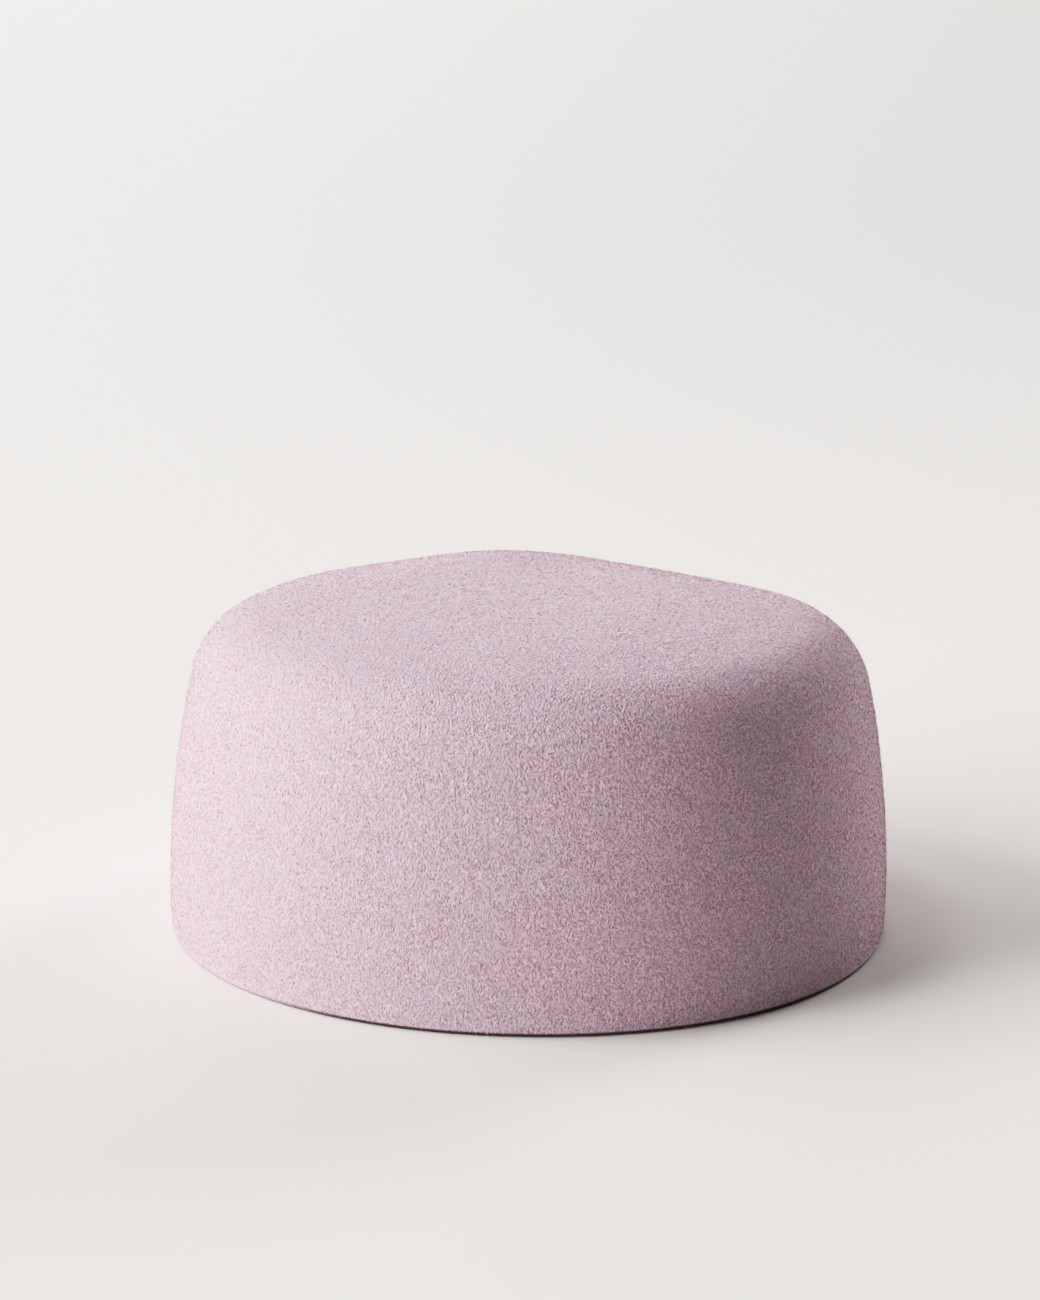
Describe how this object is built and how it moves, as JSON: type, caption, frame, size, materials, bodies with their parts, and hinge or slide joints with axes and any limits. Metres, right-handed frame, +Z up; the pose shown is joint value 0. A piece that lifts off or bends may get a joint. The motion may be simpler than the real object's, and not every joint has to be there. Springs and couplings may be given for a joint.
{
  "type": "pillbox hat",
  "caption": "Brimless pillbox hat blocked from one piece of thick lilac wool felt, with a soft rounded shoulder, a slightly domed crown and an open hollow for the head.",
  "frame": {"origin": "middle of the oval rim, on the surface that the hat stands on", "axes": "+X along the rim's long side, towards the hat's right end in the picture; -Y is the side seen in the picture; +Z up through the crown"},
  "size_m": [0.2006, 0.1726, 0.0953],
  "materials": {
    "felt": "matt brushed wool felt, short nap"
  },
  "bodies": {
    "root": {"felt_body": "felt"}
  },
  "joints": []
}
